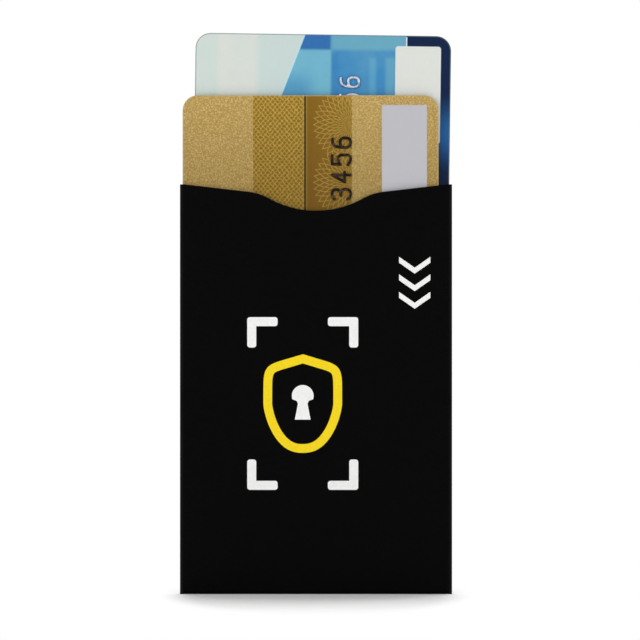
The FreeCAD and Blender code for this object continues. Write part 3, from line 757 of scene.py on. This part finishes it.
def layerFinish(name, inks, size, rough, bump=(0.1, 0.03), span=(0.32, 0.68), detail=4.0, uneven=0.6,
                metal=0.0, specular=0.5, card=None, stretch=(1, 1, 1)):
    material, shader = newMaterial(name, {"Metallic": metal, "Specular IOR Level": specular})
    place = cardPlace(shader, card, stretch) if card else placeInMm(shader)
    tone = noise(place, size, detail, uneven)
    dress(shader, mixInk(spread(tone, *span), *inks), spread(tone, *noiseSpan, *rough))
    bumpFrom(shader, tone, *bump)
    return material


# Printed faces of the two cards

goldPrint = {
    "shader": {"Coat Weight": 0.04, "Coat Roughness": 0.10, "Specular IOR Level": 0.12},
    "gold": ink(173, 145, 85), "goldDark": ink(160, 131, 71), "goldLight": ink(193, 166, 105),
    "flake": 0.20, "flakeShare": 0.45, "cloud": 0.42, "cloudSpan": (0.32, 0.68), "cloudShare": 0.55,
    "toGold": (0.25, 0.55), "toLight": (0.52, 0.80),
    "glint": (1.25, 1.24, 1.2, 1), "glintSpan": (0.3, 0.8), "glintShare": 0.20,
    "hatch": (-12.1, -1.17), "hatchGround": ink(142, 111, 37), "hatchDot": ink(118, 89, 21),
    "hatchLine": ink(181, 150, 70), "hatchPitch": 0.755, "hatchSlope": (0.755, 0.656), "hatchWidth": 0.21,
    "hatchWander": 0.62, "wanderSize": 0.8, "hatchSpan": (0.35, 0.65), "hatchShare": (0.2, 0.9),
    "band": (-1.17, 8.72), "bandDark": ink(124, 90, 24), "bandLight": ink(132, 102, 31),
    "bandLine": ink(174, 142, 67), "chainSpan": (0.3, 0.65), "chainShare": (0.35, 1.0),
    "rosettePitch": 12.2, "rosetteSide": 8.6, "rosetteLines": 36.0, "rosetteStroke": 0.21,
    "rosetteFill": 0.24, "rosetteCurl": 0.443, "rosetteEnd": (3.06, 3.14),
    "chainEnd": 14.4, "chainEndSoft": 0.4, "chainEndShare": 0.35,
    "seam": ink(44, 32, 8), "seamWidth": 0.34, "seamShare": 1.0,
    "beside": ink(160, 138, 70), "besideWidth": 0.9, "besideShare": 0.4,
    "paintedSheenRamp": (22.0, 42.8), "paintedShadeLow": (0.85, 0.84, 0.83, 1), "paintedSheenHigh": (1.20, 1.21, 1.22, 1),
    "panel": (15.05, 24.55), "panelFromTop": (2.05, 26.4), "panelInk": ink(194, 194, 199),
    "rim": ink(198, 174, 118), "paintedEdgeShare": 0.6, "metal": 0.35, "printCover": 0.5,
    "rough": (0.30, 0.48), "smudge": 0.06, "scratch": -0.6, "bump": (0.12, 0.02),
}
paintedEdgeSpan = (-0.30, -0.10)


def paintedEdgeBand(side, length):  # a thin band just inside the card's outline, where an edge line is painted: painted highlight on the gold card, painted shade on the blue one
    outside = useGroup(boxGroup, Across=side, Along=length, HalfAcross=cardSize["halfWidth"],
                       HalfAlong=cardSize["halfLength"], Round=cardSize["corner"])["Outside"]
    return ease(outside, *paintedEdgeSpan)


def crosshatch(place, side, length, faded):
    look, lattice, cells = goldPrint, 0.0, 1.0
    pitch, bend = look["hatchPitch"], look["hatchWander"] / 2
    sideways, endways = times(side, look["hatchSlope"][0]), times(length, look["hatchSlope"][1])
    wander = between(noise(place, look["wanderSize"], 1.0), -bend, bend)
    for direction in ("ADD", "SUBTRACT"):
        slant = plus(calc(direction, sideways, endways), wander)
        lattice = plus(lattice, ruling(slant, pitch, look["hatchWidth"]))
        cells = times(cells, ruling(plus(slant, pitch / 2), pitch, pitch / 2))
    hatch = mixInk(times(cells, faded), look["hatchGround"], look["hatchDot"])
    return mixInk(times(lattice, faded), hatch, look["hatchLine"])


def rosettes(side, length, start):  # every second one of the chain, lines that cross on their way out
    look = goldPrint
    period, perTurn = 2 * look["rosettePitch"], look["rosetteLines"] / math.tau
    along = calc("FRACT", calc("DIVIDE", minus(length, start), period))
    along = times(minus(along, 0.5), period)
    outward = minus(side, look["rosetteSide"])
    reach = reachOf(along, outward)
    turned = times(calc("ARCTAN2", along, outward), perTurn)
    curl = times(reach, look["rosetteCurl"])
    stroke = calc("DIVIDE", look["rosetteStroke"] * perTurn, reach)
    stroke = calc("MINIMUM", stroke, look["rosetteFill"])  # stays open at the middle
    lines = larger(ruling(plus(turned, curl), 1.0, stroke), ruling(minus(turned, curl), 1.0, stroke))
    tip = calc("ABSOLUTE", minus(calc("FRACT", turned), 0.5))
    return times(lines, spread(minus(curl, tip), *look["rosetteEnd"], 1.0, 0.0))


def goldFaceFinish(card):
    look = goldPrint
    material, shader = newMaterial("goldCardFace", look["shader"])
    place = cardPlace(shader, card)
    side, _, length = split(place)

    fine, broad = flakes(place, look["flake"]), noise(place, look["cloud"])
    sparkle = spread(broad, *look["cloudSpan"], 0.0, look["cloudShare"])
    sparkle = plus(times(fine, look["flakeShare"]), sparkle)
    gold = mixInk(spread(sparkle, *look["toGold"]), look["goldDark"], look["gold"])
    gold = mixInk(spread(sparkle, *look["toLight"]), gold, look["goldLight"])
    hatch = crosshatch(place, side, length, spread(broad, *look["hatchSpan"], *look["hatchShare"]))
    chain = larger(rosettes(side, length, 0.0), rosettes(side, length, look["rosettePitch"]))
    chain = times(chain, spread(broad, *look["chainSpan"], *look["chainShare"]))
    ground = mixInk(spread(side, 0.0, look["band"][1]), look["bandDark"], look["bandLight"])

    inHatch, inBand = band(side, *look["hatch"]), band(side, *look["band"])
    face = mixInk(inHatch, gold, hatch)
    face = mixInk(inBand, face, mixInk(chain, ground, look["bandLine"]))
    onward = times(chain, band(side, look["band"][1], look["chainEnd"], look["chainEndSoft"]))
    face = mixInk(times(onward, look["chainEndShare"]), face, look["goldLight"])  # the chain runs on, faintly
    glint = spread(sparkle, *look["glintSpan"], 0.0, look["glintShare"])
    face = mixInk(glint, face, mixInk(1.0, face, look["glint"], "MULTIPLY"))
    for seam in ("beside", "seam"):  # a dark line with a pale border
        middle, half = look["hatch"][1], look[seam + "Width"] / 2
        onSeam = times(band(side, middle - half, middle + half), look[seam + "Share"])
        face = mixInk(onSeam, face, look[seam])
    # painted shade near the sleeve's mouth, rising to a painted sheen towards the top of the card
    paintedSheenRamp = mixInk(spread(length, *look["paintedSheenRamp"]), look["paintedShadeLow"], look["paintedSheenHigh"])
    face = mixInk(1.0, face, paintedSheenRamp, "MULTIPLY")
    high, low = (cardSize["halfLength"] - down for down in look["panelFromTop"])
    panel = times(band(side, *look["panel"]), band(length, low, high))
    face = mixInk(panel, face, look["panelInk"])
    # painted highlight along the card's edge
    face = mixInk(times(paintedEdgeBand(side, length), look["paintedEdgeShare"]), face, look["rim"])

    printed = larger(panel, times(larger(inHatch, inBand), look["printCover"]))
    give(shader.inputs["Metallic"], between(printed, look["metal"], 0.0))
    smudge, scratch = useGroup(handledGroup, Place=place)
    dress(shader, face, plus(between(fine, *look["rough"]), times(smudge, look["smudge"])))
    bumpFrom(shader, plus(fine, times(scratch, look["scratch"])), *look["bump"])
    return material


bluePrint = {
    "shader": {"Coat Weight": 0.05, "Coat Roughness": 0.06, "Specular IOR Level": 0.10},
    "paleLeft": ink(214, 226, 219), "paleRight": ink(207, 223, 219), "paleSpan": (-26.0, -8.0),
    "cream": ink(228, 230, 222), "creamBand": (-22.2, -13.9, 1.0), "creamShare": (0.5, 1.0),
    "leftBlue": ink(118, 187, 212), "rightBlue": ink(66, 142, 196), "step": (1.4, 2.0),
    "light": ink(112, 176, 198), "deep": ink(46, 108, 178), "glow": ink(118, 188, 210),
    "cloud": 7.0, "cloudSpan": (0.35, 0.7), "cloudShare": 0.35,
    "blocks": (  # left, right, bottom, top and softness in mm, then the ink and its share
        (-30, 1.7, 39.6, 60, 0.4, "deep", 0.95), (1.7, 17.6, 39.6, 60, 0.6, "light", 0.9),
        (1.7, 3.2, -60, 39, 0.5, "deep", 0.25), (9.8, 11.2, -60, 38, 0.5, "glow", 0.4),
        (13.2, 15.2, -60, 38, 0.5, "light", 0.6), (-30, -2.5, 22, 34, 2.5, "rightBlue", 0.6),
        (4.5, 10.5, 6, 24, 2.0, "deep", 0.35), (-20, -4.0, -14, 8, 2.2, "deep", 0.5),
        (5.0, 22, -26, -6, 2.4, "glow", 0.45), (-27, 27, -60, -34, 3.0, "deep", 0.7)),
    "slantSide": -3.95, "slantLength": 42.6, "slantSlope": 0.376, "slantSpan": (-0.12, 0.12),
    "slantEdge": ink(196, 232, 240), "slantLine": (-0.25, 0.10, 0.12), "slantShare": 0.8,
    "navy": ink(6, 32, 70), "navyLight": ink(36, 94, 152), "navyGlow": (18.0, 26.8, 4.2),
    "navySide": (24.5, 40, 0.25), "navyTop": (17.6, 40, 0.12), "navyTopEnds": (34.8, 60, 0.8),
    "line": ink(226, 236, 240), "tick": (17.44, 17.70), "tickEnds": (40.4, 42.45),
    "panel": (15.25, 24.86), "panelFromTop": (2.25, 22.8), "panelRound": 0.6, "panelSpan": (-0.06, 0.06),
    "panelInk": ink(229, 231, 225), "dot": 0.16, "dotInk": (0.72, 0.76, 0.80, 1), "dotShare": 0.10,
    "rim": ink(120, 130, 134), "paintedEdgeShare": 0.75, "rough": (0.24, 0.34), "scratch": -0.4, "bump": (0.05, 0.02),
}


def blueFaceFinish(card):
    look = bluePrint
    material, shader = newMaterial("blueCardFace", look["shader"])
    place = cardPlace(shader, card)
    side, _, length = split(place)

    cloud = noise(place, look["cloud"])
    pale = mixInk(ease(side, *look["paleSpan"]), look["paleLeft"], look["paleRight"])
    creamy = times(band(side, *look["creamBand"]), spread(cloud, *noiseSpan, *look["creamShare"]))
    pale = mixInk(creamy, pale, look["cream"])

    blocks = mixInk(spread(side, *look["step"]), look["leftBlue"], look["rightBlue"])
    blocks = mixInk(ease(cloud, *look["cloudSpan"], 0.0, look["cloudShare"]), blocks, look["light"])
    for left, right, bottom, top, soft, colour, strength in look["blocks"]:
        inBlock = times(band(side, left, right, soft), band(length, bottom, top, soft))
        blocks = mixInk(times(inBlock, strength), blocks, look[colour])
    slant = times(minus(length, look["slantLength"]), look["slantSlope"])
    fromSlant = minus(side, plus(slant, look["slantSide"]))
    face = mixInk(spread(fromSlant, *look["slantSpan"]), pale, blocks)
    edge = times(band(fromSlant, *look["slantLine"]), look["slantShare"])
    face = mixInk(edge, face, look["slantEdge"])

    navy = mixInk(band(length, *look["navyGlow"]), look["navy"], look["navyLight"])
    inTop = times(band(side, *look["navyTop"]), band(length, *look["navyTopEnds"]))
    face = mixInk(larger(band(side, *look["navySide"]), inTop), face, navy)
    tick = times(band(side, *look["tick"]), band(length, *look["tickEnds"]))
    face = mixInk(tick, face, look["line"])

    left, right = look["panel"]
    high, low = (cardSize["halfLength"] - down for down in look["panelFromTop"])
    panel = useGroup(boxGroup, Across=minus(side, (left + right) / 2), HalfAcross=(right - left) / 2,
                     Along=minus(length, (low + high) / 2), HalfAlong=(high - low) / 2,
                     Round=look["panelRound"])["Outside"]
    face = mixInk(spread(panel, *look["panelSpan"], 1.0, 0.0), face, look["panelInk"])
    dots = between(flakes(place, look["dot"]), 0.0, look["dotShare"])
    face = mixInk(dots, face, mixInk(1.0, face, look["dotInk"], "MULTIPLY"))
    # painted shade along the card's edge
    face = mixInk(times(paintedEdgeBand(side, length), look["paintedEdgeShare"]), face, look["rim"])
    smudge, scratch = useGroup(handledGroup, Place=place)
    dress(shader, face, between(smudge, *look["rough"]))
    bumpFrom(shader, plus(cloud, times(scratch, look["scratch"])), *look["bump"])
    return material


backPrint = {
    "shader": {"Coat Weight": 0.2, "Coat Roughness": 0.15},
    "front_card": {"name": "goldCardBack", "ground": ink(180, 156, 102), "shade": ink(168, 142, 86),
                   "rule": ink(150, 124, 70)},
    "rear_card": {"name": "blueCardBack", "ground": ink(222, 230, 232), "shade": ink(206, 219, 225),
                  "rule": ink(150, 182, 204)},
    "cloud": 12.0, "cloudDetail": 3.0, "cloudSpan": (0.35, 0.65),
    "wave": 0.55, "waveRise": 1.1, "pitch": 1.5, "width": 0.22, "ruled": (9.5, 25.2, 0.3), "ruleShare": 0.6,
    "rough": (0.32, 0.42), "bump": (0.06, 0.02),
}


def cardBackFinish(card):
    look, inks = backPrint, backPrint[card]
    material, shader = newMaterial(inks["name"], look["shader"])
    place = cardPlace(shader, card)
    side, _, length = split(place)
    cloud = noise(place, look["cloud"], look["cloudDetail"])
    face = mixInk(spread(cloud, *look["cloudSpan"]), inks["ground"], inks["shade"])
    wave = times(calc("SINE", times(side, look["wave"])), look["waveRise"])
    lines = ruling(plus(length, wave), look["pitch"], look["width"])
    ruled = times(times(lines, band(side, *look["ruled"])), look["ruleShare"])
    smudge, scratch = useGroup(handledGroup, Place=place)
    dress(shader, mixInk(ruled, face, inks["rule"]), between(smudge, *look["rough"]))
    bumpFrom(shader, scratch, *look["bump"])
    return material


numberPrint = {
    "front_card": {"name": "goldCardNumber", "body": ink(128, 100, 46), "tip": ink(14, 9, 10),
                   "worn": ink(84, 66, 46), "metal": 0.0, "specular": 0.12},
    # on the blue card the digits' flanks carry painted shade, darker than the print round them
    "rear_card": {"name": "blueCardNumber", "body": ink(44, 60, 116), "tip": ink(206, 210, 220),
                  "worn": ink(112, 136, 160), "metal": 0.7, "specular": 0.4},
    "spot": 0.32, "spotDetail": 3.0, "spotRise": 0.12, "tipSpan": (0.27, 0.37),
    "wearAndReflection": 0.9, "wearAndReflectionSpan": (0.50, 0.68), "rough": (0.22, 0.38),
}


def numberFinish(card):  # the digits' tops are tipped with foil
    look, inks = numberPrint, numberPrint[card]
    material, shader = newMaterial(inks["name"], {"Specular IOR Level": inks["specular"]})
    place = cardPlace(shader, card)
    rise = times(split(place)["Y"], -1.0)
    spots = noise(place, look["spot"], look["spotDetail"])
    tipped = ease(plus(rise, times(spots, look["spotRise"])), *look["tipSpan"])
    # worn patches on the foil tips, which also stand in for painted highlights on the gold number and a
    # painted reflection on the silver one
    wearAndReflection = spread(noise(place, look["wearAndReflection"]), *look["wearAndReflectionSpan"])
    foil = mixInk(wearAndReflection, inks["tip"], inks["worn"])
    if inks["metal"]:
        give(shader.inputs["Metallic"], times(tipped, inks["metal"]))
    dress(shader, mixInk(tipped, inks["body"], foil), spread(spots, *noiseSpan, *look["rough"]))
    return material


signatureLook = {
    "specular": 0.2, "slope": 0.6, "pitch": 0.9, "width": 0.3, "lineShare": 0.55,
    "fineness": 4.0, "soilShare": 0.25, "paper": ink(240, 240, 236), "line": ink(190, 204, 218),
    "soil": ink(214, 212, 204), "rough": (0.6, 0.75), "bump": (0.2, 0.02),
}


def signatureFinish(card):
    look = signatureLook
    material, shader = newMaterial(card + "SignaturePanel", {"Specular IOR Level": look["specular"]})
    place = cardPlace(shader, card)
    side, _, length = split(place)
    lines = ruling(plus(side, times(length, look["slope"])), look["pitch"], look["width"])
    tone, height = useGroup(grainGroup, Place=place, Fineness=look["fineness"])
    face = mixInk(times(lines, look["lineShare"]), look["paper"], look["line"])
    face = mixInk(times(tone, look["soilShare"]), face, look["soil"])
    dress(shader, face, between(tone, *look["rough"]))
    bumpFrom(shader, height, *look["bump"])
    return material


def paint(node, material):
    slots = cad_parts[node].data.materials
    if len(slots):
        slots[0] = material
    else:
        slots.append(material)


# Floor, light and background

white = (1, 1, 1, 1)
stageLook = {
    "floorHalf": 3.0, "floorCells": 4,
    "floor": {"Base Color": white, "Roughness": 1.0, "Specular IOR Level": 0.0},
    "plainFrom": 26.0, "plainTo": 33.5, "plainStretch": (1.0, 2.6, 1.0),
    "skyLight": 0.42, "aim": (0, 0, 0.055),
    "lamps": {
        "leftSoftbox": {"at": (-1.15, -0.95, 0.45), "size": (0.7, 0.7), "power": 6.2},
        "rightSoftbox": {"at": (1.15, -0.95, 0.45), "size": (0.7, 0.7), "power": 5.2},
        "topSoftbox": {"at": (0.05, 0.30, 0.95), "size": (0.5, 0.35), "power": 5.2},
    },
}


def seenDirectly(tree):  # camera, mirror and glass rays
    path = tree.nodes.new("ShaderNodeLightPath").outputs
    return larger(larger(path["Is Camera Ray"], path["Is Glossy Ray"]), path["Is Transmission Ray"])


def blendInto(end, share, first, second):
    blend = addNode("MixShader", {0: share, 1: first.outputs[0], 2: second.outputs[0]})
    give(end.inputs["Surface"], blend[0])


def layFloor():  # takes shadows near the sleeve and turns plain white further out
    look = stageLook
    clearSelection()
    bpy.ops.mesh.primitive_grid_add(x_subdivisions=look["floorCells"], y_subdivisions=look["floorCells"],
                                    size=2 * look["floorHalf"])
    floor = bpy.context.object
    floor.name = "studio_floor"
    material, shader = newMaterial("whiteFloor", look["floor"])
    place = placeInMm(shader, stretch=look["plainStretch"])
    length = addNode("VectorMath", {0: place}, operation="LENGTH")["Value"]
    tree = material.node_tree
    far = times(ease(length, look["plainFrom"], look["plainTo"]), seenDirectly(tree))
    blendInto(tree.nodes["Material Output"], far, shader, tree.nodes.new("ShaderNodeEmission"))
    floor.data.materials.append(material)


def hangLamps():
    for name, lamp in stageLook["lamps"].items():
        turned = (Vector(stageLook["aim"]) - Vector(lamp["at"])).to_track_quat("-Z", "Y").to_euler()
        bpy.ops.object.light_add(type="AREA", location=lamp["at"], rotation=turned)
        light = bpy.context.object
        light.name = name
        light.data.shape = "RECTANGLE"
        light.data.size, light.data.size_y = lamp["size"]
        light.data.energy = lamp["power"]


def hangBackdrop():
    world = bpy.data.worlds.new("whiteStudio")
    bpy.context.scene.world = world
    world.use_nodes = True
    tree = world.node_tree
    tree.nodes.clear()
    sky, plain = tree.nodes.new("ShaderNodeBackground"), tree.nodes.new("ShaderNodeBackground")
    for backdrop, strength in ((sky, stageLook["skyLight"]), (plain, 1.0)):
        give(backdrop.inputs["Color"], white)
        give(backdrop.inputs["Strength"], strength)
    blendInto(tree.nodes.new("ShaderNodeOutputWorld"), seenDirectly(tree), sky, plain)
    bpy.context.scene.view_settings.view_transform = "Standard"


# Making the scene

placeCamera()
layFloor()
hangLamps()
hangBackdrop()
print("stage ready")

sheet = foldSheet()
sheet.data.materials.append(blackSheetFinish())
whiteInk = filmFinish("whitePrint", ink(242, 242, 240), ink(253, 253, 251), printFilm)
yellowInk = filmFinish("yellowPrint", ink(248, 214, 14), ink(254, 226, 18), printFilm)
marks = [cornerMark(toSide, toTop) for toSide in (-1, 1) for toTop in (-1, 1)]
finishPrint("print_corner_marks", marks + [keyhole()], whiteInk)
finishPrint("print_shield", [shieldOutline()], yellowInk)
finishPrint("print_chevrons", [chevron(index) for index in range(prints["chevrons"])], whiteInk)
layers = {name: layerFinish(name, **look) for name, look in layerLooks.items()}
paint("foil_layer", layers["shieldFoil"])
paint("inner_liner", filmFinish("innerLiner", ink(30, 30, 32), ink(46, 46, 48), linerFilm))
for side in ("left", "right"):
    paint(side + "_glue_strip", layers["driedGlue"])
print("sleeve ready")

masters = {character: bendDigit(character) for character in sorted(set(digits["number"]) - {" "})}
for card in cards:
    embossNumber(card, masters, numberFinish(card))
print("numbers ready")

faces = {"front_card": goldFaceFinish("front_card"), "rear_card": blueFaceFinish("rear_card")}
for card in cards:
    finishes = {
        "front_overlay": faces[card], "front_core": layers["cardCore"], "inlay": layers["cardInlay"],
        "antenna_coil": layers["antennaCoil"],
        "magnetic_stripe": layerFinish(card + "MagneticStripe", card=card, **stripeLook),
        "signature_panel": signatureFinish(card), "chip_carrier": layers["chipCarrier"],
        "chip_contacts": layerFinish(card + "ChipContacts", card=card, **contactLook),
        "chip_encapsulation": layers["chipResin"],
    }
    for part, material in finishes.items():
        paint(card + "_" + part, material)
    pressBack(card, masters, cardBackFinish(card), layers["cardCore"])
for master in masters.values():
    bpy.data.objects.remove(master)
print("cards ready")
